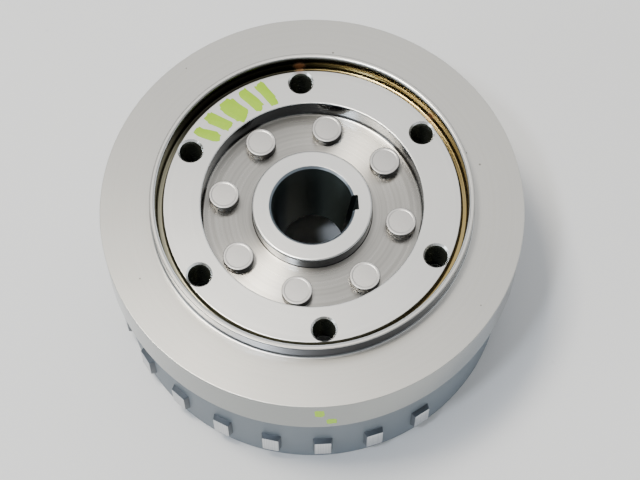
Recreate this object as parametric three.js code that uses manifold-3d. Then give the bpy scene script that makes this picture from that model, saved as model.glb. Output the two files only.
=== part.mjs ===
// Alternator flywheel of a small engine. A forged steel cup carries twelve arc magnets on its
// inner wall, spaced by a moulded cage and covered by a thin sleeve. A hub with a tapered bore
// is riveted behind the cup's web, and a starter clutch bolts to the raised face round the hub.
//
// Millimetres. +Z is the flywheel's axis and points to the clutch side. The origin is on the
// axis, in the plane of the open rim that the flywheel stands on.

import * as THREE from 'three';
import { mergeVertices } from 'three/addons/utils/BufferGeometryUtils.js';
import Module from 'manifold-3d';

// Fits
const CLEARANCE = 0.3;          // between two pieces that touch
const CUTTER_SPARE = 1.0;       // how far a cutter runs past the metal

// Cup: flange, drum and web
const FLANGE_RADIUS = 62.5;
const FLANGE_TOP = 56.0;        // height of the flange's flat top above the open rim
const FLANGE_THICKNESS = 18.0;
const FLANGE_CHAMFER = 0.6;
const DRUM_STEP = 3.0;          // the drum is this much smaller in radius than the flange
const DRUM_WALL = 5.5;
const DRUM_EDGE = 0.8;          // chamfer on the drum's open rim
const WEB_THICKNESS = 7.0;
const SHOULDER_DEPTH = 8.0;     // from the web's underside to the shoulder that stops the magnets

// Cup: clutch side, from the rivet circle outwards
const RECESS_DEPTH = 7.0;       // from the clutch face down to the web's floor
const RECESS_EDGE = 1.7;        // from the rivet heads to the recess wall
const FACE_RISE = 2.0;          // clutch face above the flange
const FACE_CHAMFER = 0.4;
const BOLT_HOLES = 6;
const BOLT_HOLE_RADIUS = 3.35;  // tapped M8
const BOLT_HOLE_CHAMFER = 0.7;
const BOLT_HOLE_LAND_IN = 3.75; // metal between a hole and the recess
const BOLT_HOLE_LAND_OUT = 0.65; // metal between a hole and the groove
const BOLT_HOLE_PHASE = 95;     // degrees, anticlockwise from +X
const GROOVE_WIDTH = 2.0;
const GROOVE_DEPTH = 2.4;       // from the clutch face down
const RIM_THICKNESS = 1.7;
const RIM_HEIGHT = 6.2;         // above the flange
const RIM_CHAMFER = 0.3;

// Cup: trigger lugs, a full ring of places with some left empty as the timing mark
const LUG_PLACES = 24;
const LUGS = 22;
const LUG_WIDTH = 5.0;
const LUG_HEIGHT = 10.5;
const LUG_PROUD = 1.7;
const LUG_SLOPE = 0.5;          // how far a lug's foot spreads on each side
const LUG_FOOT = 3.4;           // from the open rim to a lug
const LUG_PHASE = -57;          // degrees, the first lug after the empty places

// Hub
const BOSS_RADIUS = 17.8;
const BOSS_RISE = 0.2;          // boss top above the flange
const BOSS_CHAMFER = 0.8;
const BOSS_LENGTH = 36.0;
const HUB_FLANGE_THICKNESS = 6.0;
const HUB_FLANGE_EDGE = 1.0;    // from the rivet tails to the flange's edge
const BORE_RADIUS = 12.1;       // at the boss top, the large end
const BORE_TAPER = 1 / 5;       // on diameter
const BORE_CHAMFER = 0.7;
const NUT_SEAT_RADIUS = 14.0;
const NUT_SEAT_DEPTH = 8.0;
const KEYWAY_WIDTH = 4.8;
const KEYWAY_DEPTH = 1.6;
const KEYWAY_PHASE = 4;         // degrees

// Rivets
const RIVETS = 8;
const RIVET_CIRCLE = 26.5;      // radius
const RIVET_PHASE = 80.5;       // degrees
const RIVET_SHANK_RADIUS = 2.5;
const RIVET_HEAD_RADIUS = 4.5;
const RIVET_HEAD_HEIGHT = 3.0;
const RIVET_TAIL_RADIUS = 4.2;
const RIVET_TAIL_HEIGHT = 2.2;

// Magnets, cage and sleeve
const MAGNETS = 12;
const MAGNET_THICKNESS = 5.5;
const CAGE_FINGER = 1.9;
const CAGE_RING = 2.0;          // height of the ring under the magnets
const SLEEVE_SHEET = 0.5;
const SLEEVE_INSET = 1.2;       // the sleeve's lip lies this far inside the open rim

// Facets round a full turn
const CUP_FACETS = 72;
const HUB_FACETS = 48;
const RIVET_FACETS = 18;
const HOLE_FACETS = 16;
const MAGNET_FACETS = 5;

// Radii of the clutch side, from the rivets outwards
const recessRadius = RIVET_CIRCLE + RIVET_HEAD_RADIUS + RECESS_EDGE;
const boltCircle = recessRadius + BOLT_HOLE_LAND_IN + BOLT_HOLE_RADIUS;
const faceRadius = boltCircle + BOLT_HOLE_RADIUS + BOLT_HOLE_LAND_OUT;
const rimInner = faceRadius + GROOVE_WIDTH;
const rimOuter = rimInner + RIM_THICKNESS;

// Heights
const faceTop = FLANGE_TOP + FACE_RISE;
const webTop = faceTop - RECESS_DEPTH;
const webBottom = webTop - WEB_THICKNESS;
const magnetTop = webBottom - SHOULDER_DEPTH;
const bossTop = FLANGE_TOP + BOSS_RISE;
const bossBottom = bossTop - BOSS_LENGTH;
const hubFlangeTop = webBottom - CLEARANCE;
const hubFlangeBottom = hubFlangeTop - HUB_FLANGE_THICKNESS;
const lipTop = SLEEVE_INSET + SLEEVE_SHEET;
const cageBottom = lipTop + CLEARANCE;
const cageRingTop = cageBottom + CAGE_RING;

// Radii inside the drum, from the wall inwards
const drumRadius = FLANGE_RADIUS - DRUM_STEP;
const pocketRadius = drumRadius - DRUM_WALL;
const magnetOuter = pocketRadius - CLEARANCE;
const magnetInner = magnetOuter - MAGNET_THICKNESS;
const sleeveOuter = magnetInner - CLEARANCE;
const sleeveInner = sleeveOuter - SLEEVE_SHEET;

const degrees = THREE.MathUtils.degToRad;

const wasm = await Module();
wasm.setup();

// A closed three.js geometry as a solid that can be joined and cut.
function solid(geometry) {
  const bare = geometry.clone();
  bare.deleteAttribute('normal');
  bare.deleteAttribute('uv');
  const merged = mergeVertices(bare, 1e-4);
  return new wasm.Manifold(new wasm.Mesh({
    numProp: 3,
    vertProperties: new Float32Array(merged.attributes.position.array),
    triVerts: new Uint32Array(merged.index.array),
  }));
}

// A solid back as a geometry, with a flat normal on each facet.
function surface(body) {
  const mesh = body.getMesh();
  const geometry = new THREE.BufferGeometry();
  geometry.setAttribute('position', new THREE.BufferAttribute(mesh.vertProperties, 3));
  geometry.setIndex(new THREE.BufferAttribute(mesh.triVerts, 1));
  const faceted = geometry.toNonIndexed();
  faceted.computeVertexNormals();
  return faceted;
}

// A corner list [radius, height, chamfer] as an outline, each chamfer cutting its corner off.
function outline(corners) {
  const points = [];
  corners.forEach(([r, z, chamfer = 0], i) => {
    const here = new THREE.Vector2(r, z);
    if (chamfer === 0) {
      points.push(here);
      return;
    }
    const before = corners[(i + corners.length - 1) % corners.length];
    const after = corners[(i + 1) % corners.length];
    for (const [nr, nz] of [before, after]) {
      const towards = new THREE.Vector2(nr, nz).sub(here).setLength(chamfer);
      points.push(here.clone().add(towards));
    }
  });
  return points;
}

// A turned piece about Z. The corners run anticlockwise, with the radius to the right.
function turned(corners, facets) {
  const points = outline(corners);
  points.push(points[0].clone());
  return new THREE.LatheGeometry(points, facets).rotateX(Math.PI / 2);
}

// A plain cylinder along Z between two heights, with its own radius at each end.
function pin(bottomRadius, topRadius, bottom, top, facets) {
  const geometry = new THREE.CylinderGeometry(topRadius, bottomRadius, top - bottom, facets);
  return geometry.rotateX(Math.PI / 2).translate(0, 0, (bottom + top) / 2);
}

// The same geometry moved out along +X and turned to an angle.
function placed(geometry, radius, angle) {
  return geometry.clone().translate(radius, 0, 0).rotateZ(angle);
}

// One trigger lug: a block on the drum with sloped sides, its foot sunk into the wall.
function lug() {
  const geometry = new THREE.BoxGeometry(LUG_PROUD + CUTTER_SPARE, 1, 1);
  const position = geometry.attributes.position;
  for (let i = 0; i < position.count; i++) {
    const spread = position.getX(i) < 0 ? 2 * LUG_SLOPE : 0;
    position.setY(i, position.getY(i) * (LUG_WIDTH + spread));
    position.setZ(i, position.getZ(i) * (LUG_HEIGHT + spread));
  }
  const middle = drumRadius + (LUG_PROUD - CUTTER_SPARE) / 2;
  return geometry.translate(middle, 0, LUG_FOOT + LUG_HEIGHT / 2);
}

// A tapped hole in the clutch face, with a chamfer at its mouth.
function boltHole() {
  const mouth = BOLT_HOLE_RADIUS + BOLT_HOLE_CHAMFER;
  const drill = pin(BOLT_HOLE_RADIUS, BOLT_HOLE_RADIUS, webBottom - CUTTER_SPARE,
    faceTop + CUTTER_SPARE, HOLE_FACETS);
  const sink = pin(BOLT_HOLE_RADIUS, mouth + CUTTER_SPARE, faceTop - BOLT_HOLE_CHAMFER,
    faceTop + CUTTER_SPARE, HOLE_FACETS);
  return [drill, sink];
}

// Forged cup, turned all over: web, clutch face, groove, rim, flange and drum.
function rotorCup() {
  const webHole = BOSS_RADIUS + CLEARANCE;
  let body = solid(turned([
    [webHole, webBottom],
    [magnetInner, webBottom],
    [magnetInner, magnetTop],
    [pocketRadius, magnetTop],
    [pocketRadius, 0, DRUM_EDGE],
    [drumRadius, 0, DRUM_EDGE],
    [drumRadius, FLANGE_TOP - FLANGE_THICKNESS],
    [FLANGE_RADIUS, FLANGE_TOP - FLANGE_THICKNESS, FLANGE_CHAMFER],
    [FLANGE_RADIUS, FLANGE_TOP, FLANGE_CHAMFER],
    [rimOuter, FLANGE_TOP],
    [rimOuter, FLANGE_TOP + RIM_HEIGHT, RIM_CHAMFER],
    [rimInner, FLANGE_TOP + RIM_HEIGHT, RIM_CHAMFER],
    [rimInner, faceTop - GROOVE_DEPTH],
    [faceRadius, faceTop - GROOVE_DEPTH],
    [faceRadius, faceTop, FACE_CHAMFER],
    [recessRadius, faceTop, FACE_CHAMFER],
    [recessRadius, webTop],
    [webHole, webTop],
  ], CUP_FACETS));

  for (let i = 0; i < LUGS; i++) {
    const angle = degrees(LUG_PHASE - i * 360 / LUG_PLACES);
    body = body.add(solid(placed(lug(), 0, angle)));
  }
  for (let i = 0; i < BOLT_HOLES; i++) {
    const angle = degrees(BOLT_HOLE_PHASE - i * 360 / BOLT_HOLES);
    for (const cutter of boltHole()) {
      body = body.subtract(solid(placed(cutter, boltCircle, angle)));
    }
  }
  return rivetHoles(body, webBottom, webTop);
}

// The ring of rivet holes through a plate between two heights.
function rivetHoles(body, bottom, top) {
  const radius = RIVET_SHANK_RADIUS + CLEARANCE;
  const drill = pin(radius, radius, bottom - CUTTER_SPARE, top + CUTTER_SPARE, RIVET_FACETS);
  let drilled = body;
  for (let i = 0; i < RIVETS; i++) {
    const angle = degrees(RIVET_PHASE - i * 360 / RIVETS);
    drilled = drilled.subtract(solid(placed(drill, RIVET_CIRCLE, angle)));
  }
  return drilled;
}

// Hub: a boss through the web, a flange behind it, a tapered bore, a keyway and a nut seat.
function taperHub() {
  const nutSeatTop = bossBottom + NUT_SEAT_DEPTH;
  const boreEnd = BORE_RADIUS - (bossTop - nutSeatTop) * BORE_TAPER / 2;
  const flangeRadius = RIVET_CIRCLE + RIVET_TAIL_RADIUS + HUB_FLANGE_EDGE;
  const body = solid(turned([
    [NUT_SEAT_RADIUS, bossBottom],
    [BOSS_RADIUS, bossBottom, BOSS_CHAMFER],
    [BOSS_RADIUS, hubFlangeBottom],
    [flangeRadius, hubFlangeBottom, BOSS_CHAMFER],
    [flangeRadius, hubFlangeTop],
    [BOSS_RADIUS, hubFlangeTop],
    [BOSS_RADIUS, bossTop, BOSS_CHAMFER],
    [BORE_RADIUS, bossTop, BORE_CHAMFER],
    [boreEnd, nutSeatTop],
    [NUT_SEAT_RADIUS, nutSeatTop],
  ], HUB_FACETS));

  // The keyway's floor runs parallel to the bore's wall, KEYWAY_DEPTH outside it.
  const cut = new THREE.BoxGeometry(2 * KEYWAY_DEPTH, KEYWAY_WIDTH, 2 * BOSS_LENGTH);
  cut.rotateY(Math.atan(BORE_TAPER / 2));
  const keyway = placed(cut.translate(0, 0, bossTop), BORE_RADIUS, degrees(KEYWAY_PHASE));
  return rivetHoles(body.subtract(solid(keyway)), hubFlangeBottom, hubFlangeTop);
}

// A solid rivet: a flat head on the web, a shank, and a tail closed over the hub's flange.
function hubRivet() {
  const headBottom = webTop + CLEARANCE;
  const tailTop = hubFlangeBottom - CLEARANCE;
  return turned([
    [0, tailTop - RIVET_TAIL_HEIGHT],
    [RIVET_TAIL_RADIUS, tailTop - RIVET_TAIL_HEIGHT, RIVET_TAIL_HEIGHT / 2],
    [RIVET_TAIL_RADIUS, tailTop],
    [RIVET_SHANK_RADIUS, tailTop],
    [RIVET_SHANK_RADIUS, headBottom],
    [RIVET_HEAD_RADIUS, headBottom],
    [RIVET_HEAD_RADIUS, headBottom + RIVET_HEAD_HEIGHT, RIVET_HEAD_HEIGHT / 8],
    [0, headBottom + RIVET_HEAD_HEIGHT],
  ], RIVET_FACETS);
}

// One arc magnet, centred on +X. Its ends stand off the cage's fingers.
function arcMagnet() {
  const gap = Math.asin((CAGE_FINGER / 2 + CLEARANCE) / magnetInner);
  const half = Math.PI / MAGNETS - gap;
  const arc = new THREE.Shape();
  arc.absarc(0, 0, magnetOuter, -half, half, false);
  arc.absarc(0, 0, magnetInner, half, -half, true);
  const bottom = cageRingTop + CLEARANCE;
  const depth = magnetTop - CLEARANCE - bottom;
  const geometry = new THREE.ExtrudeGeometry(arc, {
    depth, bevelEnabled: false, curveSegments: MAGNET_FACETS,
  });
  return geometry.translate(0, 0, bottom);
}

// Moulded cage: a ring under the magnets with a finger up between each two of them.
function magnetCage() {
  let body = solid(turned([
    [magnetInner, cageBottom],
    [magnetOuter, cageBottom],
    [magnetOuter, cageRingTop],
    [magnetInner, cageRingTop],
  ], CUP_FACETS));
  const inset = CLEARANCE;
  const height = magnetTop - CLEARANCE - cageBottom;
  const finger = new THREE.BoxGeometry(MAGNET_THICKNESS - 2 * inset, CAGE_FINGER, height);
  finger.translate((magnetInner + magnetOuter) / 2, 0, cageBottom + height / 2);
  for (let i = 0; i < MAGNETS; i++) {
    body = body.add(solid(placed(finger, 0, (i + 0.5) * 2 * Math.PI / MAGNETS)));
  }
  return body;
}

// Thin sleeve over the magnets' inner faces, with a lip turned out under the cage.
function magnetSleeve() {
  return turned([
    [sleeveInner, SLEEVE_INSET],
    [magnetOuter, SLEEVE_INSET],
    [magnetOuter, lipTop],
    [sleeveOuter, lipTop],
    [sleeveOuter, magnetTop - CLEARANCE],
    [sleeveInner, magnetTop - CLEARANCE],
  ], CUP_FACETS);
}

const finishes = {
  turnedSteel: { color: 0xc4c2bb, roughness: 0.32, metalness: 0.9 },
  rivetSteel: { color: 0xb9bab8, roughness: 0.5, metalness: 0.8 },
  ferrite: { color: 0x33342f, roughness: 0.7, metalness: 0.2 },
  nylon: { color: 0x2a2b2c, roughness: 0.6, metalness: 0.0 },
  sheetSteel: { color: 0xb4b7ba, roughness: 0.28, metalness: 0.95 },
};

const flywheel = new THREE.Group();
flywheel.name = 'flywheel';

function addPiece(name, geometry, finish) {
  const mesh = new THREE.Mesh(geometry, new THREE.MeshStandardMaterial(finishes[finish]));
  mesh.name = name;
  flywheel.add(mesh);
  return mesh;
}

addPiece('rotor_cup', surface(rotorCup()), 'turnedSteel');
addPiece('taper_hub', surface(taperHub()), 'turnedSteel');
for (let i = 0; i < RIVETS; i++) {
  const rivet = addPiece(`hub_rivet_${i + 1}`, hubRivet(), 'rivetSteel');
  const angle = degrees(RIVET_PHASE - i * 360 / RIVETS);
  rivet.position.set(RIVET_CIRCLE * Math.cos(angle), RIVET_CIRCLE * Math.sin(angle), 0);
}
for (let i = 0; i < MAGNETS; i++) {
  const magnet = addPiece(`magnet_${String(i + 1).padStart(2, '0')}`, arcMagnet(), 'ferrite');
  magnet.rotation.z = i * 2 * Math.PI / MAGNETS;
}
addPiece('magnet_cage', surface(magnetCage()), 'nylon');
addPiece('magnet_sleeve', magnetSleeve(), 'sheetSteel');

export default flywheel;
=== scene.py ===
import math

import bmesh
import bpy
from mathutils import Matrix, Vector, noise


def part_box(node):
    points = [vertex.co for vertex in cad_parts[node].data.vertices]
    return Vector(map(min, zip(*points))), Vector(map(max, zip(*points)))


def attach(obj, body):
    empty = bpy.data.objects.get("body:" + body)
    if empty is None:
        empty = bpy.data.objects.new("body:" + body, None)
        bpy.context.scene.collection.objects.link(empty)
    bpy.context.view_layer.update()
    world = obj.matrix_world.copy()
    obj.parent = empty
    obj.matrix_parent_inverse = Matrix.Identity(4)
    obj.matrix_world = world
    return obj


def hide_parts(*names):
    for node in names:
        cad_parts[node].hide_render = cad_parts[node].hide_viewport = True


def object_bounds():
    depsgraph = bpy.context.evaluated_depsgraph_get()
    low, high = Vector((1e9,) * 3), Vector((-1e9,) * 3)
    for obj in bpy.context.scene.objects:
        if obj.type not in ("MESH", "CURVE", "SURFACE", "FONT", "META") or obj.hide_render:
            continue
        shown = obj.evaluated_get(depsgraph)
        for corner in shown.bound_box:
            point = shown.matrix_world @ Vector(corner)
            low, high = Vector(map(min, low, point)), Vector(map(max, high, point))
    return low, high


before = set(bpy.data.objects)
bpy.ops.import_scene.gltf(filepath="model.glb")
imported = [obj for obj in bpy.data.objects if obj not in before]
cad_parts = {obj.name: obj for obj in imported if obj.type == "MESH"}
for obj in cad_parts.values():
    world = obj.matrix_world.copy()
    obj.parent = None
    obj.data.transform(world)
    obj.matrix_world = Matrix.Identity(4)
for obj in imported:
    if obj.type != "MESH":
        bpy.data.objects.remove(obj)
cad_low, cad_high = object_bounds()


# Stage: a plain pale bench top that the flywheel stands on, open rim down, in a pale room with
# a bright ceiling, a warm lamp and a cool one overhead, and a cool window to the left. The
# stage is not part of the flywheel.

class Value:
    """One output socket of a node, which adds Math nodes as it is reckoned with."""

    def __init__(self, nodes, socket):
        self.nodes, self.socket = nodes, socket

    def math(self, operation, *others):
        inputs = dict(enumerate((self, *others)))
        return self.nodes.node("ShaderNodeMath", {"operation": operation}, inputs)

    def reflected(self, operation, other):
        return self.nodes.node("ShaderNodeMath", {"operation": operation}, {0: other, 1: self})

    def __add__(self, other):
        return self.math("ADD", other)

    def __radd__(self, other):
        return self.reflected("ADD", other)

    def __sub__(self, other):
        return self.math("SUBTRACT", other)

    def __rsub__(self, other):
        return self.reflected("SUBTRACT", other)

    def __mul__(self, other):
        return self.math("MULTIPLY", other)

    def __rmul__(self, other):
        return self.reflected("MULTIPLY", other)

    def between(self, low, high):
        """0 below low and 1 above high, with a smooth step between; low may be the larger."""
        settings = {"interpolation_type": "SMOOTHSTEP", "clamp": True}
        start, end = (0.0, 1.0) if low < high else (1.0, 0.0)
        inputs = {"Value": self, "From Min": min(low, high), "From Max": max(low, high),
                  "To Min": start, "To Max": end}
        return self.nodes.node("ShaderNodeMapRange", settings, inputs)


class Nodes:
    """The node tree of a material or of the world."""

    def __init__(self, owner):
        owner.use_nodes = True
        self.tree = owner.node_tree
        self.tree.nodes.clear()

    def node(self, kind, settings, inputs, output=0):
        """Adds a node, makes its settings, then fills its sockets, and gives one output."""
        made = self.tree.nodes.new(kind)
        for name, value in settings.items():
            setattr(made, name, value)
        for name, value in inputs.items():
            if isinstance(value, Value):
                self.tree.links.new(value.socket, made.inputs[name])
            else:
                made.inputs[name].default_value = value
        return Value(self, made.outputs[output]) if made.outputs else None

    def place(self):
        """Object coordinates, in metres."""
        return self.node("ShaderNodeTexCoord", {}, {}, "Object")

    def parts(self, vector):
        """The X, Y and Z of a vector."""
        split = self.node("ShaderNodeSeparateXYZ", {}, {0: vector})
        return [Value(self, socket) for socket in split.socket.node.outputs]

    def noise(self, vector, scale, detail=3.0, roughness=0.5):
        """Grey cloudy noise from 0 to 1, with a cell of about 1 / scale metres."""
        inputs = {"Vector": vector, "Scale": scale, "Detail": detail, "Roughness": roughness}
        return self.node("ShaderNodeTexNoise", {}, inputs, "Fac")

    def rings(self, distance, scale, detail=2.0):
        """Noise along one distance only, as a lathe tool leaves it."""
        inputs = {"W": distance, "Scale": scale, "Detail": detail}
        return self.node("ShaderNodeTexNoise", {"noise_dimensions": "1D"}, inputs, "Fac")

    def mix(self, share, first, second):
        """One colour where share is 0 and another where it is 1."""
        inputs = {0: share, 6: first, 7: second}
        return self.node("ShaderNodeMix", {"data_type": "RGBA"}, inputs, 2)

    def bump(self, height, distance, strength=1.0):
        inputs = {"Height": height, "Distance": distance, "Strength": strength}
        return self.node("ShaderNodeBump", {}, inputs)

    def surface(self, inputs):
        """The Principled shader, as the material's surface."""
        shader = self.node("ShaderNodeBsdfPrincipled", {}, inputs)
        self.node("ShaderNodeOutputMaterial", {}, {"Surface": shader})


def rgb(red, green, blue):
    return (red, green, blue, 1.0)


def bench_finish():
    material = bpy.data.materials.new("bench_top")
    nodes = Nodes(material)
    place = nodes.place()
    cloud = nodes.noise(place, 6.0)
    specks = nodes.noise(place, 260.0, 1.0).between(0.76, 0.82)
    colour = nodes.mix(cloud, rgb(0.86, 0.87, 0.87), rgb(0.90, 0.895, 0.885))
    nodes.surface({"Base Color": nodes.mix(specks * 0.12, colour, rgb(0.40, 0.42, 0.45)),
                   "Roughness": 0.62})
    return material


BENCH_SIZE = 6.0
bench_mesh = bmesh.new()
bmesh.ops.create_grid(bench_mesh, x_segments=1, y_segments=1, size=BENCH_SIZE / 2)
bmesh.ops.translate(bench_mesh, verts=bench_mesh.verts, vec=(0, 0, cad_low.z))
bench = bpy.data.objects.new("bench_top", bpy.data.meshes.new("bench_top"))
bench_mesh.to_mesh(bench.data)
bench.data.materials.append(bench_finish())
bpy.context.scene.collection.objects.link(bench)

CAMERA_LENS = 112.5            # millimetres, on a 36 mm sensor
CAMERA_TILT = math.radians(23.3)   # off the vertical, towards the front
CAMERA_DISTANCE = 0.584
CAMERA_AIM = Vector((0.0023, -0.0111, 0.056))
camera = bpy.data.objects.new("camera", bpy.data.cameras.new("camera"))
camera.data.lens = CAMERA_LENS
camera.data.clip_start = 0.01
back = Vector((0, -math.sin(CAMERA_TILT), math.cos(CAMERA_TILT)))
camera.location = CAMERA_AIM + back * CAMERA_DISTANCE
camera.rotation_euler = (CAMERA_TILT, 0, 0)
bpy.context.scene.collection.objects.link(camera)
bpy.context.scene.camera = camera


def lamp(name, direction, distance, size, power, colour):
    """A square soft lamp that looks at the flywheel from a direction."""
    light = bpy.data.lights.new(name, "AREA")
    light.shape, light.size = "SQUARE", size
    light.energy, light.color = power, colour
    holder = bpy.data.objects.new(name, light)
    towards = Vector(direction).normalized()
    holder.location = towards * distance
    holder.rotation_mode = "QUATERNION"
    holder.rotation_quaternion = towards.to_track_quat("Z", "Y")
    bpy.context.scene.collection.objects.link(holder)


lamp("ceiling_lamp", (-0.26, 0.02, 0.96), 1.5, 0.30, 17.0, (1.0, 0.94, 0.84))
lamp("left_window", (-0.85, -0.42, 0.42), 1.8, 0.7, 6.8, (0.86, 0.93, 1.0))
lamp("spot_lamp", (-0.25, -0.29, 0.92), 1.6, 0.12, 7.0, (0.80, 0.88, 1.0))

room = bpy.data.worlds.new("room")
bpy.context.scene.world = room
nodes = Nodes(room)
way = nodes.node("ShaderNodeTexCoord", {}, {}, "Generated")
across, _, up = nodes.parts(way)
ceiling = Vector((0.06, 0.42, 0.91)).normalized()
towards_ceiling = nodes.node("ShaderNodeVectorMath", {"operation": "DOT_PRODUCT"},
                             {0: way, 1: ceiling}, "Value")
panel = towards_ceiling.between(math.cos(math.radians(42)), math.cos(math.radians(14)))
wall = up.between(0.60, 0.15)
brightness = 0.05 + 0.98 * panel + 2.1 * wall * (1 + 0.12 * across)
tint = nodes.mix(wall, rgb(0.98, 0.985, 1.0), rgb(0.88, 0.94, 1.0))
light = nodes.node("ShaderNodeBackground", {}, {"Color": tint, "Strength": brightness})
nodes.node("ShaderNodeOutputWorld", {}, {"Surface": light})


# Rotor cup: one steel forging, turned bright on the clutch side and the flange's edge, with a
# matt blue-grey coating on the drum. Trigger lugs stand out of the drum, and the clutch face
# has six tapped M8 holes, an oil groove and a raised rim that centres the starter clutch.

MM = 0.001
TURN_STEPS = 240
ARC_STEPS = 4
SUPPORT = 0.05                 # millimetres of flat kept beside a rounded corner
BODY = "root"

cup_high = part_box("rotor_cup")[1]
FLANGE_RADIUS = cup_high.x / MM
RIM_TOP = cup_high.z / MM
RIM_HEIGHT, FACE_HEIGHT = 6.2, 2.0     # above the flange
RECESS_DEPTH, WEB_THICKNESS = 7.0, 7.0
FLANGE_TOP = RIM_TOP - RIM_HEIGHT
FACE_TOP = FLANGE_TOP + FACE_HEIGHT
WEB_TOP = FACE_TOP - RECESS_DEPTH
WEB_BOTTOM = WEB_TOP - WEB_THICKNESS
BAND_HEIGHT = 18.0
FLANGE_OVERHANG, DRUM_WALL = 3.0, 5.5
SHOULDER_WIDTH, SHOULDER_HEIGHT = 5.8, 8.0
DRUM_RADIUS = FLANGE_RADIUS - FLANGE_OVERHANG
POCKET_RADIUS = DRUM_RADIUS - DRUM_WALL
SHOULDER_RADIUS = POCKET_RADIUS - SHOULDER_WIDTH
SHOULDER = WEB_BOTTOM - SHOULDER_HEIGHT
BOSS_RADIUS = 17.8
RECESS_RADIUS = 32.7
FACE_RADIUS = 43.8
RIM_INNER = 45.8
RIM_OUTER = 47.5
GROOVE_DEPTH = 2.4
BOLT_CIRCLE = 39.8
BOLT_HOLES = 6
BOLT_PHASE = 95.0
THREAD_MINOR = 3.35
THREAD_MAJOR = 3.8
HOLE_MOUTH = 3.9
THREAD_PITCH = 1.25
RIVETS = 8
RIVET_CIRCLE = 26.5
RIVET_PHASE = 80.5
RIVET_HOLE = 2.6
LUG_PLACES, LUGS, LUG_PHASE = 24, 22, -57.0
# A known mismatch: the CAD lugs are 10.5 high with their foot at 3.4.
LUG_WIDTH, LUG_HEIGHT, LUG_PROUD, LUG_FOOT = 5.0, 9.5, 1.7, 7.5
HAIRLINE = 0.03                # between two pieces pressed together


def outline(corners):
    """Corners (radius, height, fillet) in millimetres as points, each fillet as an arc.

    Slerp gives a direction only, so each point of an arc is set at the fillet's own radius.
    """
    points = []
    for i, (radius, height, fillet) in enumerate(corners):
        here = Vector((radius, 0, height))
        if fillet == 0:
            points.append(here)
            continue
        before, after = corners[i - 1], corners[(i + 1) % len(corners)]
        a = (Vector((before[0], 0, before[1])) - here).normalized()
        b = (Vector((after[0], 0, after[1])) - here).normalized()
        half = a.angle(b) / 2
        reach = fillet / math.tan(half)
        centre = here + (a + b).normalized() * fillet / math.sin(half)
        start, end = here + a * reach - centre, here + b * reach - centre
        points.append(here + a * (reach + SUPPORT))
        for step in range(ARC_STEPS + 1):
            points.append(centre + start.slerp(end, step / ARC_STEPS).normalized() * fillet)
        points.append(here + b * (reach + SUPPORT))
    return points


def turned(corners, steps=TURN_STEPS):
    """A solid of revolution about Z. Corners that start on the axis are left open there."""
    mesh = bmesh.new()
    verts = [mesh.verts.new(point * MM) for point in outline(corners)]
    ends = verts[1:] + verts[:1] if corners[0][0] > 0 else verts[1:]
    edges = [mesh.edges.new(pair) for pair in zip(verts, ends)]
    bmesh.ops.spin(mesh, geom=verts + edges, cent=(0, 0, 0), axis=(0, 0, 1), dvec=(0, 0, 0),
                   angle=2 * math.pi, steps=steps, use_merge=True, use_duplicate=False)
    bmesh.ops.remove_doubles(mesh, verts=mesh.verts, dist=1e-7)
    bmesh.ops.recalc_face_normals(mesh, faces=mesh.faces)
    return mesh


def round_about(mesh, radius, count, phase, places=None):
    """Copies of a mesh at a radius, clockwise from a phase in degrees, as one mesh."""
    whole = bmesh.new()
    pattern = bpy.data.meshes.new("pattern")
    mesh.to_mesh(pattern)
    for i in range(count):
        held = len(whole.verts)
        whole.from_mesh(pattern)
        whole.verts.ensure_lookup_table()
        turn = Matrix.Rotation(math.radians(phase - i * 360 / (places or count)), 4, "Z")
        shift = Matrix.Translation((radius * MM, 0, 0))
        bmesh.ops.transform(whole, matrix=turn @ shift, verts=whole.verts[held:])
    bpy.data.meshes.remove(pattern)
    mesh.free()
    return whole


def made(name, mesh, *materials, sharp=32.0):
    """The mesh as an object at the origin, smooth but for its sharp edges."""
    thing = bpy.data.objects.new(name, bpy.data.meshes.new(name))
    mesh.to_mesh(thing.data)
    mesh.free()
    for material in materials:
        thing.data.materials.append(material)
    thing.data.shade_smooth()
    thing.data.set_sharp_from_angle(angle=math.radians(sharp))
    bpy.context.scene.collection.objects.link(thing)
    return thing


def carve(thing, mesh, operation, sharp=32.0):
    """Cuts a mesh out of a thing or joins it on, and drops the tool."""
    tool = made("tool", mesh)
    modifier = thing.modifiers.new("carve", "BOOLEAN")
    modifier.operation, modifier.solver, modifier.object = operation, "EXACT", tool
    graph = bpy.context.evaluated_depsgraph_get()
    shape = bpy.data.meshes.new_from_object(thing.evaluated_get(graph), depsgraph=graph)
    thing.modifiers.clear()
    shape.name = thing.data.name
    thing.data = shape
    bpy.data.objects.remove(tool)
    thing.data.shade_smooth()
    thing.data.set_sharp_from_angle(angle=math.radians(sharp))


def settle(thing, slot, *nodes_replaced):
    """The thing rides on the flywheel's body and stands for its CAD nodes."""
    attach(thing, BODY)
    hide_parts(*nodes_replaced)


def threaded_cutter():
    """A tapped hole's inside: a countersunk mouth, then a thread's crests and roots."""
    countersink = HOLE_MOUTH - THREAD_MINOR
    corners = [(0, FACE_TOP + 1, 0), (HOLE_MOUTH + 1, FACE_TOP + 1, 0),
               (HOLE_MOUTH, FACE_TOP, 0), (THREAD_MINOR, FACE_TOP - countersink, 0)]
    height = FACE_TOP - countersink
    while height - THREAD_PITCH > WEB_BOTTOM + 0.5:
        corners += [(THREAD_MINOR, height - 0.15, 0), (THREAD_MAJOR - 0.05, height - 0.58, 0),
                    (THREAD_MAJOR - 0.05, height - 0.72, 0),
                    (THREAD_MINOR, height - THREAD_PITCH, 0)]
        height -= THREAD_PITCH
    corners += [(THREAD_MINOR, WEB_BOTTOM - 1, 0), (0, WEB_BOTTOM - 1, 0)]
    return turned(corners, 48)


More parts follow.
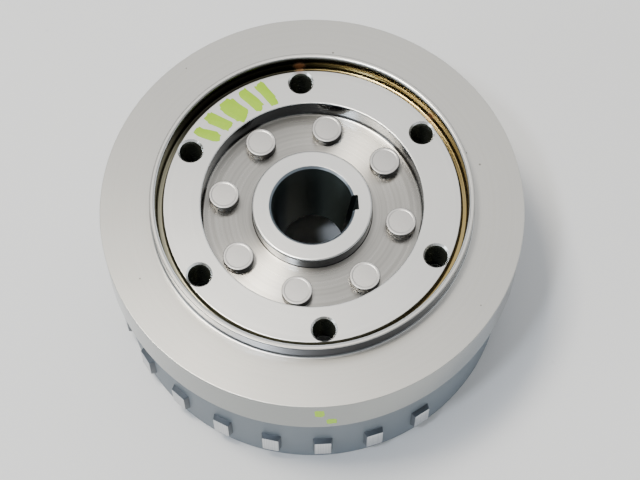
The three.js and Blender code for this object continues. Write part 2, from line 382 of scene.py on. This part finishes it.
def lug_block():
    """One lug: a block with drafted sides and softened edges, its foot in the drum wall."""
    mesh = bmesh.new()
    bmesh.ops.create_cube(mesh, size=1.0)
    root, face = DRUM_RADIUS - 1.0, DRUM_RADIUS + LUG_PROUD
    for vert in mesh.verts:
        spread = 0.5 * (face - root) / LUG_PROUD if vert.co.x < 0 else 0.0
        vert.co.x = face if vert.co.x > 0 else root
        vert.co.y = math.copysign(LUG_WIDTH / 2 + spread, vert.co.y)
        vert.co.z = LUG_FOOT + LUG_HEIGHT / 2 + math.copysign(LUG_HEIGHT / 2 + spread, vert.co.z)
    bmesh.ops.scale(mesh, vec=(MM, MM, MM), verts=mesh.verts)
    bmesh.ops.bevel(mesh, geom=mesh.edges[:], offset=0.32 * MM, offset_type="OFFSET",
                    affect="EDGES", segments=3, profile=0.5, material=-1)
    return mesh


def steel_finish(name, tint, roughness, anisotropy, wall_shade_tint, wall_roughness, grain=0.10,
                 with_marks_and_shade=False):
    """Turned bright steel. The brushing runs round the axis; walls are smoother than flats and
    painted darker as shade.
    """
    material = bpy.data.materials.new(name)
    nodes = Nodes(material)
    place = nodes.place()
    x, y, z = nodes.parts(place)
    normal = nodes.node("ShaderNodeNewGeometry", {}, {}, "Normal")
    flat = nodes.parts(normal)[2].math("ABSOLUTE").between(0.35, 0.85)
    radius = (x * x + y * y).math("SQRT")
    travel = radius + z
    cuts = nodes.rings(travel, 900.0)
    fine = nodes.rings(travel, 3600.0, 1.0)
    smudge = nodes.noise(place, 42.0)
    colour = nodes.mix(smudge, tint, rgb(*(channel * 0.94 for channel in tint[:3])))
    colour = nodes.mix(cuts.between(0.2, 0.8) * grain, colour, rgb(0.30, 0.29, 0.26))
    if with_marks_and_shade:
        colour = nodes.mix(radius.between(0.0470, 0.0472), rgb(0.82, 0.815, 0.785), colour)
    # Painted shade: walls take the darker wall colour in place of the steel's own.
    colour = nodes.mix(flat, wall_shade_tint, colour)
    rough = (wall_roughness + (roughness - wall_roughness) * flat
             + 0.07 * (smudge - 0.5) + 0.05 * (cuts - 0.5))
    metal = 1.0
    if with_marks_and_shade:
        colour, rough, metal = marks_and_shade_on_steel(nodes, place, radius, x, y, z, flat, colour, rough)
    inputs = {"Base Color": colour, "Roughness": rough, "Metallic": metal,
              "Anisotropic": anisotropy, "Anisotropic Rotation": 0.25,
              "Normal": nodes.bump(cuts * 0.6 + fine * 0.4, 0.000006)}
    nodes.surface(inputs)
    return material


def marks_and_shade_on_steel(nodes, place, radius, x, y, z, flat, colour, rough):
    """Oil in the groove, tool lines on the rim, rust spots and specks of dirt, with painted shade on
    the groove and the rim's outer wall.
    """
    angle = y.math("ARCTAN2", x)
    wobble = nodes.noise(place, 160.0)
    on_rim = radius.between(0.0456, 0.0458) * radius.between(0.0476, 0.0475)
    lines = nodes.rings(radius, 3300.0, 1.0).between(0.42, 0.60)
    colour = nodes.mix(on_rim * lines * flat * 0.45, colour, rgb(0.20, 0.18, 0.14))
    # Painted shade: the rim's outer wall is painted near-black.
    rim_wall_shade = radius.between(0.0470, 0.0473) * radius.between(0.0479, 0.0477) * (1 - flat)
    colour = nodes.mix(rim_wall_shade, colour, rgb(0.055, 0.06, 0.075))
    in_groove = radius.between(0.04365, 0.0440) * radius.between(0.0463, 0.0459)
    low = z.between(0.0575, 0.0565)
    gold = angle.between(-1.3, -0.6) * angle.between(1.95, 1.6)
    floor = nodes.mix(gold * (0.5 + 0.5 * wobble), rgb(0.40, 0.38, 0.27), rgb(0.50, 0.35, 0.11))
    colour = nodes.mix(in_groove * low * flat, colour, floor)
    # Painted shade: the groove's walls are painted dark.
    colour = nodes.mix(in_groove * (1 - flat), colour, rgb(0.10, 0.098, 0.08))
    # Painted shade: the groove is painted near-black between about 83 and 163 degrees round.
    groove_shade = in_groove * angle.between(1.45, 1.75) * angle.between(2.85, 2.5)
    colour = nodes.mix(groove_shade * 0.9, colour, rgb(0.035, 0.034, 0.022))
    oil = in_groove * low * gold
    rust = 0.0
    for degrees_at, radius_at, size in RUST_SPOTS:
        spot = near(nodes, place, degrees_at, radius_at, FACE_TOP - 0.6, size)
        rust = spot if rust == 0.0 else rust.math("MAXIMUM", spot)
    rust = rust * wobble.between(0.35, 0.62)
    colour = nodes.mix(rust * 0.9, colour, rgb(0.22, 0.075, 0.02))
    dirt = 0.0
    for degrees_at, radius_at, size in DIRT_SPECKS:
        speck = near(nodes, place, degrees_at, radius_at, FLANGE_TOP, size)
        dirt = speck if dirt == 0.0 else dirt.math("MAXIMUM", speck)
    colour = nodes.mix(dirt * 0.8, colour, rgb(0.06, 0.05, 0.035))
    return colour, rough + rust * 0.3 + dirt * 0.2 - oil * 0.1, 1 - (rust + dirt * 0.5) * 0.8


def near(nodes, place, degrees_at, radius_at, height_at, size):
    """1 at a point given by angle, radius and height, falling to 0 at size millimetres."""
    turn = math.radians(degrees_at)
    point = Vector((math.cos(turn) * radius_at, math.sin(turn) * radius_at, height_at)) * MM
    gap = nodes.node("ShaderNodeVectorMath", {"operation": "DISTANCE"},
                     {0: place, 1: point}, "Value")
    return gap.between(size * MM, size * 0.35 * MM)


RUST_SPOTS = ((40.0, 45.2, 2.6), (95.0, 45.0, 2.8), (63.0, 44.6, 0.7))
DIRT_SPECKS = ((83.0, 51.3, 0.42), (15.0, 51.5, 0.45), (20.5, 48.9, 0.4), (205.0, 55.0, 0.35),
               (327.0, 58.0, 0.3), (130.0, 59.5, 0.3))   # angle, radius, size


def coating_finish(name, low, high):
    """Matt blue-grey phosphate, with the cloudy tone and fine tooth of a dipped coating."""
    material = bpy.data.materials.new(name)
    nodes = Nodes(material)
    place = nodes.place()
    cloud = nodes.noise(place, 55.0, 4.0)
    grain = nodes.noise(place, 2600.0, 2.0)
    colour = nodes.mix(cloud, low, high)
    nodes.surface({"Base Color": colour, "Metallic": 0.35,
                   "Roughness": 0.46 + 0.08 * (cloud - 0.5) + 0.06 * (grain - 0.5),
                   "Normal": nodes.bump(grain, 0.000012)})
    return material


def lug_finish():
    """The lugs' ground faces, with upright scratches from the grinding wheel."""
    material = bpy.data.materials.new("lug_steel")
    nodes = Nodes(material)
    x, y, z = nodes.parts(nodes.place())
    sweep = y.math("ARCTAN2", x)
    scratches = nodes.rings(sweep, 260.0, 3.0).between(0.35, 0.70)
    smear = nodes.noise(nodes.place(), 300.0)
    colour = nodes.mix(scratches * 0.7, rgb(0.64, 0.65, 0.66), rgb(0.36, 0.38, 0.41))
    nodes.surface({"Base Color": colour, "Metallic": 1.0, "Roughness": 0.30 + 0.15 * smear,
                   "Normal": nodes.bump(scratches, 0.00002)})
    return material


def thread_shade_finish():
    """The tapped holes, painted near-black inside as shade."""
    material = bpy.data.materials.new("shaded_thread")
    nodes = Nodes(material)
    smear = nodes.noise(nodes.place(), 700.0)
    colour = nodes.mix(smear, rgb(0.035, 0.040, 0.028), rgb(0.09, 0.095, 0.075))
    nodes.surface({"Base Color": colour, "Metallic": 0.7, "Roughness": 0.22 + 0.15 * smear})
    return material


# The fourth colour of each steel is painted shade, given to its walls in place of its own colour.
turned_steel = steel_finish("turned_steel", rgb(0.67, 0.66, 0.62), 0.31, 0.12,
                            rgb(0.265, 0.278, 0.27), 0.14, with_marks_and_shade=True)
recess_steel = steel_finish("recess_steel", rgb(0.68, 0.655, 0.60), 0.28, 0.88,
                            rgb(0.10, 0.11, 0.125), 0.10, grain=0.30)
drum_coating = coating_finish("drum_coating", rgb(0.114, 0.140, 0.163),
                              rgb(0.147, 0.173, 0.198))
lug_side = coating_finish("lug_side", rgb(0.045, 0.055, 0.068), rgb(0.085, 0.10, 0.115))
lug_steel, shaded_thread = lug_finish(), thread_shade_finish()


cup_corners = [
    (BOSS_RADIUS + HAIRLINE, WEB_BOTTOM, 0.3), (SHOULDER_RADIUS, WEB_BOTTOM, 1.2),
    (SHOULDER_RADIUS, SHOULDER, 0.3), (POCKET_RADIUS, SHOULDER, 0.5),
    (POCKET_RADIUS, 0, 0.6), (DRUM_RADIUS, 0, 1.2),
    (DRUM_RADIUS, FLANGE_TOP - BAND_HEIGHT, 0.4),
    (FLANGE_RADIUS, FLANGE_TOP - BAND_HEIGHT, 0.12), (FLANGE_RADIUS, FLANGE_TOP, 0.15),
    (RIM_OUTER, FLANGE_TOP, 0.5), (RIM_OUTER, RIM_TOP, 0.3), (RIM_INNER, RIM_TOP, 0.8),
    (RIM_INNER, FACE_TOP - GROOVE_DEPTH, 0.6), (FACE_RADIUS, FACE_TOP - GROOVE_DEPTH, 0.6),
    (FACE_RADIUS, FACE_TOP, 0.3), (RECESS_RADIUS, FACE_TOP, 0.35),
    (RECESS_RADIUS, WEB_TOP, 0.7), (BOSS_RADIUS + HAIRLINE, WEB_TOP, 0.15),
]
cup = made("rotor_cup_body", turned(cup_corners))
carve(cup, round_about(lug_block(), 0, LUGS, LUG_PHASE, LUG_PLACES), "UNION")
carve(cup, round_about(threaded_cutter(), BOLT_CIRCLE, BOLT_HOLES, BOLT_PHASE), "DIFFERENCE")
rivet_drill = turned([(0, WEB_BOTTOM - 1, 0), (RIVET_HOLE, WEB_BOTTOM - 1, 0),
                      (RIVET_HOLE, WEB_TOP + 1, 0), (0, WEB_TOP + 1, 0)], 32)
carve(cup, round_about(rivet_drill, RIVET_CIRCLE, RIVETS, RIVET_PHASE), "DIFFERENCE")

for material in (turned_steel, drum_coating, lug_steel, recess_steel, shaded_thread, lug_side):
    cup.data.materials.append(material)
STEEL, COATING, LUG, RECESS, THREAD, LUG_SIDE = range(6)
for face in cup.data.polygons:
    out = math.hypot(face.center.x, face.center.y) / MM
    height = face.center.z / MM
    face.material_index = STEEL
    if height < FLANGE_TOP - BAND_HEIGHT - 0.01 and height > 0.5:
        face.material_index = COATING
    if height < FLANGE_TOP - BAND_HEIGHT and out > DRUM_RADIUS + 0.1:
        face.material_index = LUG_SIDE
    if height < FLANGE_TOP - BAND_HEIGHT and out > DRUM_RADIUS + LUG_PROUD - 0.12:
        face.material_index = LUG
    if out < RECESS_RADIUS + 0.1 and WEB_TOP - 0.1 < height < FACE_TOP - 0.2:
        face.material_index = RECESS
    if RECESS_RADIUS + 0.5 < out < FACE_RADIUS - 0.1 and WEB_BOTTOM < height < FACE_TOP - 0.3:
        face.material_index = THREAD
settle(cup, "turned_steel", "rotor_cup")


# Taper hub: a steel turning pushed through the web from behind, its flange riveted to the web.
# The bore tapers to fit the crankshaft, with a keyway, and the crank nut seats in its far end.

BOSS_LENGTH = 36.0
BOSS_TOP = FLANGE_TOP + 0.2
BOSS_BOTTOM = BOSS_TOP - BOSS_LENGTH
HUB_FLANGE_TOP = WEB_BOTTOM - 0.05
HUB_FLANGE_BOTTOM = WEB_BOTTOM - 6.3
HUB_FLANGE_RADIUS = 31.7
BORE_RADIUS = 12.1
NUT_SEAT_RADIUS, NUT_SEAT_TOP = 14.0, BOSS_BOTTOM + 8.0
TAPER = 0.1                    # radius lost for each length of bore
BORE_END = BORE_RADIUS - (BOSS_TOP - NUT_SEAT_TOP) * TAPER
KEYWAY_WIDTH, KEYWAY_DEPTH, KEYWAY_ANGLE = 4.8, 1.6, 4.0

# Painted shade: the bore's steel is given a dark colour and its walls a near-black one, for the
# shade deep in the bore.
ground_bore_shaded = steel_finish("ground_bore_shaded", rgb(0.26, 0.30, 0.34), 0.30, 0.95,
                           rgb(0.050, 0.064, 0.062), 0.34)
hub = made("taper_hub_body", turned([
    (NUT_SEAT_RADIUS, BOSS_BOTTOM, 0.4), (BOSS_RADIUS, BOSS_BOTTOM, 0.8),
    (BOSS_RADIUS, HUB_FLANGE_BOTTOM, 1.0), (HUB_FLANGE_RADIUS, HUB_FLANGE_BOTTOM, 0.8),
    (HUB_FLANGE_RADIUS, HUB_FLANGE_TOP, 0.4), (BOSS_RADIUS, HUB_FLANGE_TOP, 0.0),
    (BOSS_RADIUS, BOSS_TOP, 0.6), (BORE_RADIUS + 0.7, BOSS_TOP, 0.12),
    (BORE_RADIUS, BOSS_TOP - 0.7, 0.12), (BORE_END, NUT_SEAT_TOP, 0.0),
    (NUT_SEAT_RADIUS, NUT_SEAT_TOP, 0.3)]))

keyway = bmesh.new()
bmesh.ops.create_cube(keyway, size=1.0)
bmesh.ops.scale(keyway, vec=(2 * KEYWAY_DEPTH * MM, KEYWAY_WIDTH * MM, 0.08),
                verts=keyway.verts)
bmesh.ops.bevel(keyway, geom=[edge for edge in keyway.edges
                              if abs(edge.verts[0].co.z - edge.verts[1].co.z) > MM],
                offset=0.25 * MM, offset_type="OFFSET", affect="EDGES", segments=3,
                profile=0.5, material=-1)
lean = Matrix.Rotation(math.atan(TAPER), 4, "Y")
keyway_place = Matrix.Translation((BORE_RADIUS * MM, 0, BOSS_TOP * MM))
keyway_turn = Matrix.Rotation(math.radians(KEYWAY_ANGLE), 4, "Z")
bmesh.ops.transform(keyway, matrix=keyway_turn @ keyway_place @ lean, verts=keyway.verts)
carve(hub, keyway, "DIFFERENCE")
rivet_drill = turned([(0, HUB_FLANGE_BOTTOM - 1, 0), (RIVET_HOLE, HUB_FLANGE_BOTTOM - 1, 0),
                      (RIVET_HOLE, HUB_FLANGE_TOP + 1, 0), (0, HUB_FLANGE_TOP + 1, 0)], 32)
carve(hub, round_about(rivet_drill, RIVET_CIRCLE, RIVETS, RIVET_PHASE), "DIFFERENCE")

for material in (turned_steel, ground_bore_shaded, recess_steel):
    hub.data.materials.append(material)
BORE, BOSS_WALL = 1, 2         # slots of the hub; its turned steel is STEEL, as on the cup
for face in hub.data.polygons:
    out = math.hypot(face.center.x, face.center.y) / MM
    height = face.center.z / MM
    face.material_index = STEEL
    if out < BORE_RADIUS + KEYWAY_DEPTH and height < BOSS_TOP - 0.1:
        face.material_index = BORE
    if BOSS_RADIUS - 0.02 < out < BOSS_RADIUS + 0.02 and height > WEB_BOTTOM:
        face.material_index = BOSS_WALL
settle(hub, "turned_steel", "taper_hub")


# Rivets: eight solid steel rivets through the web and the hub's flange. The flat heads are
# pressed dull on the clutch side, with the die's faint ring, and the tails are closed behind.

def rivet_finish():
    material = bpy.data.materials.new("rivet_steel")
    nodes = Nodes(material)
    place = nodes.place()
    normal = nodes.node("ShaderNodeNewGeometry", {}, {}, "Normal")
    flat = nodes.parts(normal)[2].math("ABSOLUTE").between(0.15, 0.75)
    cloud = nodes.noise(place, 210.0, 4.0)
    grain = nodes.noise(place, 2300.0, 3.0)
    colour = nodes.mix(cloud, rgb(0.62, 0.61, 0.59), rgb(0.52, 0.51, 0.495))
    # Painted shade: the rivets' sides are painted near-black; their flat faces keep the steel's own
    # grey.
    colour = nodes.mix(flat, rgb(0.012, 0.012, 0.012), colour)
    nodes.surface({"Base Color": colour, "Metallic": 0.9,
                   "Roughness": 0.46 - 0.06 * flat + 0.14 * (cloud - 0.5),
                   "Normal": nodes.bump(grain, 0.00002)})
    return material


rivet_steel = rivet_finish()
SHANK_RADIUS = 2.5
HEAD_RADIUS, HEAD_HEIGHT = 4.5, 3.3
TAIL_RADIUS, TAIL_HEIGHT = 4.2, 2.5
for i in range(RIVETS):
    rivet = turned([
        (0, HUB_FLANGE_BOTTOM - TAIL_HEIGHT, 0),
        (TAIL_RADIUS - 1.0, HUB_FLANGE_BOTTOM - TAIL_HEIGHT, 0.6),
        (TAIL_RADIUS, HUB_FLANGE_BOTTOM - TAIL_HEIGHT / 2, 0.5),
        (TAIL_RADIUS, HUB_FLANGE_BOTTOM - 0.02, 0.1), (SHANK_RADIUS, HUB_FLANGE_BOTTOM - 0.02, 0),
        (SHANK_RADIUS, WEB_TOP + 0.02, 0), (HEAD_RADIUS - 0.05, WEB_TOP + 0.02, 0.12),
        (HEAD_RADIUS, WEB_TOP + HEAD_HEIGHT, 0.28),
        (HEAD_RADIUS - 0.70, WEB_TOP + HEAD_HEIGHT, 0.05),
        (HEAD_RADIUS - 0.95, WEB_TOP + HEAD_HEIGHT - 0.07, 0.05),
        (0, WEB_TOP + HEAD_HEIGHT - 0.02, 0)], 64)
    turn = math.radians(RIVET_PHASE - i * 360 / RIVETS)
    spot = Vector((math.cos(turn), math.sin(turn), 0)) * RIVET_CIRCLE * MM
    bmesh.ops.translate(rivet, verts=rivet.verts, vec=spot)
    settle(made(f"rivet_{i + 1}", rivet, rivet_steel), "rivet_steel", f"hub_rivet_{i + 1}")


# Magnets: twelve ground ferrite arcs against the drum's inner wall, under a moulded nylon cage
# that spaces them, and a thin drawn sleeve that covers their inner faces.

def ferrite_finish():
    material = bpy.data.materials.new("ferrite")
    nodes = Nodes(material)
    place = nodes.place()
    cloud = nodes.noise(place, 90.0, 4.0)
    grain = nodes.noise(place, 3200.0, 2.0)
    colour = nodes.mix(cloud, rgb(0.045, 0.045, 0.042), rgb(0.085, 0.085, 0.08))
    nodes.surface({"Base Color": colour, "Metallic": 0.25, "Roughness": 0.5 + 0.15 * grain,
                   "Normal": nodes.bump(grain, 0.00003)})
    return material


def nylon_finish():
    material = bpy.data.materials.new("nylon")
    nodes = Nodes(material)
    grain = nodes.noise(nodes.place(), 1500.0, 2.0)
    colour = nodes.mix(grain, rgb(0.020, 0.021, 0.023), rgb(0.034, 0.035, 0.037))
    nodes.surface({"Base Color": colour, "Roughness": 0.42 + 0.12 * grain,
                   "Normal": nodes.bump(grain, 0.00002)})
    return material


ferrite, nylon = ferrite_finish(), nylon_finish()
# Its slightly darker wall colour is painted shade.
sheet_steel = steel_finish("sheet_steel", rgb(0.72, 0.73, 0.74), 0.24, 0.35,
                           rgb(0.70, 0.71, 0.72), 0.22)
MAGNETS = 12
MAGNET_OUTER = POCKET_RADIUS - 0.3
MAGNET_INNER = SHOULDER_RADIUS
CAGE_BOTTOM, CAGE_RING_TOP, CAGE_FINGER = 2.0, 4.0, 1.9
MAGNET_BOTTOM, MAGNET_TOP = CAGE_RING_TOP + 0.3, SHOULDER - 0.3
MAGNET_HALF = math.pi / MAGNETS - (CAGE_FINGER / 2 + 0.3) / MAGNET_INNER

for i in range(MAGNETS):
    magnet = bmesh.new()
    section = [(MAGNET_INNER, MAGNET_BOTTOM), (MAGNET_OUTER, MAGNET_BOTTOM),
               (MAGNET_OUTER, MAGNET_TOP), (MAGNET_INNER, MAGNET_TOP)]
    verts = [magnet.verts.new((r * MM, 0, z * MM)) for r, z in section]
    edges = [magnet.edges.new(pair) for pair in zip(verts, verts[1:] + verts[:1])]
    bmesh.ops.rotate(magnet, cent=(0, 0, 0), verts=verts,
                     matrix=Matrix.Rotation(i * 2 * math.pi / MAGNETS - MAGNET_HALF, 3, "Z"))
    bmesh.ops.spin(magnet, geom=verts + edges, cent=(0, 0, 0), axis=(0, 0, 1), dvec=(0, 0, 0),
                   angle=2 * MAGNET_HALF, steps=14, use_merge=False, use_duplicate=False)
    bmesh.ops.holes_fill(magnet, edges=magnet.edges, sides=0)
    bmesh.ops.recalc_face_normals(magnet, faces=magnet.faces)
    hard = [edge for edge in magnet.edges if edge.calc_face_angle(0) > math.radians(60)]
    bmesh.ops.bevel(magnet, geom=hard, offset=0.35 * MM, offset_type="OFFSET", affect="EDGES",
                    segments=2, profile=0.5, material=-1)
    settle(made(f"magnet_arc_{i + 1:02d}", magnet, ferrite), "ferrite", f"magnet_{i + 1:02d}")

cage = made("magnet_cage_moulding", turned([
    (MAGNET_INNER, CAGE_BOTTOM, 0.3), (MAGNET_OUTER, CAGE_BOTTOM, 0.3),
    (MAGNET_OUTER, CAGE_RING_TOP, 0.3), (MAGNET_INNER, CAGE_RING_TOP, 0.3)], 144), nylon)
finger = bmesh.new()
bmesh.ops.create_cube(finger, size=1.0)
finger_height = MAGNET_TOP - CAGE_BOTTOM - 0.4
bmesh.ops.scale(finger, verts=finger.verts,
                vec=((MAGNET_OUTER - MAGNET_INNER - 0.6) * MM, CAGE_FINGER * MM,
                     finger_height * MM))
bmesh.ops.bevel(finger, geom=finger.edges[:], offset=0.3 * MM, offset_type="OFFSET",
                affect="EDGES", segments=2, profile=0.5, material=-1)
bmesh.ops.translate(finger, verts=finger.verts,
                    vec=(0, 0, (CAGE_BOTTOM + 0.4 + finger_height / 2) * MM))
carve(cage, round_about(finger, (MAGNET_INNER + MAGNET_OUTER) / 2, MAGNETS, 180 / MAGNETS),
      "UNION")
settle(cage, "nylon", "magnet_cage")

SLEEVE_OUTER = MAGNET_INNER - 0.3
SLEEVE_SHEET, SLEEVE_BOTTOM = 0.5, 1.2
sleeve = made("magnet_sleeve_sheet", turned([
    (SLEEVE_OUTER - SLEEVE_SHEET, SLEEVE_BOTTOM, 0.45), (MAGNET_OUTER, SLEEVE_BOTTOM, 0.15),
    (MAGNET_OUTER, SLEEVE_BOTTOM + SLEEVE_SHEET, 0.15),
    (SLEEVE_OUTER, SLEEVE_BOTTOM + SLEEVE_SHEET, 0.05), (SLEEVE_OUTER, MAGNET_TOP, 0.12),
    (SLEEVE_OUTER - SLEEVE_SHEET, MAGNET_TOP, 0.12)]), sheet_steel)
settle(sleeve, "sheet_steel", "magnet_sleeve")


# Paint marks: an assembler's dabs of yellow-green paint marker on the clutch face, with two
# small drips on the flange's edge. Plain slanted dabs, brushed on by hand.

def paint_finish():
    material = bpy.data.materials.new("marker_paint")
    nodes = Nodes(material)
    place = nodes.place()
    streak = nodes.noise(place, 900.0, 3.0)
    cloud = nodes.noise(place, 260.0, 3.0)
    colour = nodes.mix(cloud, rgb(0.30, 0.55, 0.001), rgb(0.38, 0.63, 0.003))
    colour = nodes.mix(streak.between(0.55, 0.75) * 0.2, colour, rgb(0.50, 0.62, 0.06))
    nodes.surface({"Base Color": colour, "Roughness": 0.42 + 0.2 * streak,
                   "Normal": nodes.bump(streak, 0.00004)})
    return material


PAINT_THICKNESS = 0.06
PAINT_WAVER = 0.22             # how far a dab's edge strays, as a share of its size
DABS = ((144.5, 38.3, 3.2, 8.0, 16.0), (136.5, 38.5, 3.6, 8.6, 17.0),
        (127.5, 38.3, 5.2, 8.6, 15.0), (118.5, 38.5, 3.4, 8.8, 17.0),
        (111.0, 38.6, 3.2, 8.8, 18.0))   # angle, radius, width, length, slant
DRIPS = ((-88.0, 50.0, 1.4, 2.8), (-84.8, 42.8, 1.5, 2.2))   # angle, height, width, depth


def dab(width, length, seed):
    """One dab of paint lying flat, with a wavering edge and a rounded top."""
    mesh = bmesh.new()
    bmesh.ops.create_circle(mesh, cap_ends=True, radius=1.0, segments=64)
    for vert in mesh.verts:
        waver = 1 + PAINT_WAVER * noise.noise(Vector((vert.co.x * 2.1, vert.co.y * 2.1, seed * 3.1)))
        vert.co.x = math.copysign(abs(vert.co.x) ** 0.5, vert.co.x) * waver * length / 2 * MM
        vert.co.y = math.copysign(abs(vert.co.y) ** 0.5, vert.co.y) * waver * width / 2 * MM
    base = list(mesh.faces)
    raised = bmesh.ops.extrude_face_region(mesh, geom=base)["geom"]
    tops = [item for item in raised if isinstance(item, bmesh.types.BMVert)]
    bmesh.ops.translate(mesh, verts=tops, vec=(0, 0, PAINT_THICKNESS * MM))
    cap = [item for item in raised if isinstance(item, bmesh.types.BMFace)]
    bmesh.ops.inset_region(mesh, faces=cap, thickness=0.12 * MM, depth=0.02 * MM)
    bmesh.ops.recalc_face_normals(mesh, faces=mesh.faces)
    return mesh


paint_mesh = bmesh.new()
holder = bpy.data.meshes.new("dab")


def add_dab(mesh, matrix):
    mesh.to_mesh(holder)
    mesh.free()
    held = len(paint_mesh.verts)
    paint_mesh.from_mesh(holder)
    paint_mesh.verts.ensure_lookup_table()
    bmesh.ops.transform(paint_mesh, matrix=matrix, verts=paint_mesh.verts[held:])


for i, (angle, radius, width, length, slant) in enumerate(DABS):
    at = Matrix.Rotation(math.radians(angle), 4, "Z") @ Matrix.Translation(
        (radius * MM, 0, (FACE_TOP + 0.005) * MM)) @ Matrix.Rotation(math.radians(slant), 4, "Z")
    add_dab(dab(width, length, i), at)
for i, (angle, height, width, depth) in enumerate(DRIPS):
    at = Matrix.Rotation(math.radians(angle), 4, "Z") @ Matrix.Translation(
        ((FLANGE_RADIUS - 0.075) * MM, 0, height * MM)) @ Matrix.Rotation(math.pi / 2, 4, "Y")
    add_dab(dab(width * 2, depth * 2, i + 9), at)
bpy.data.meshes.remove(holder)
paint = made("paint_marks", paint_mesh, paint_finish(), sharp=50.0)
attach(paint, BODY)
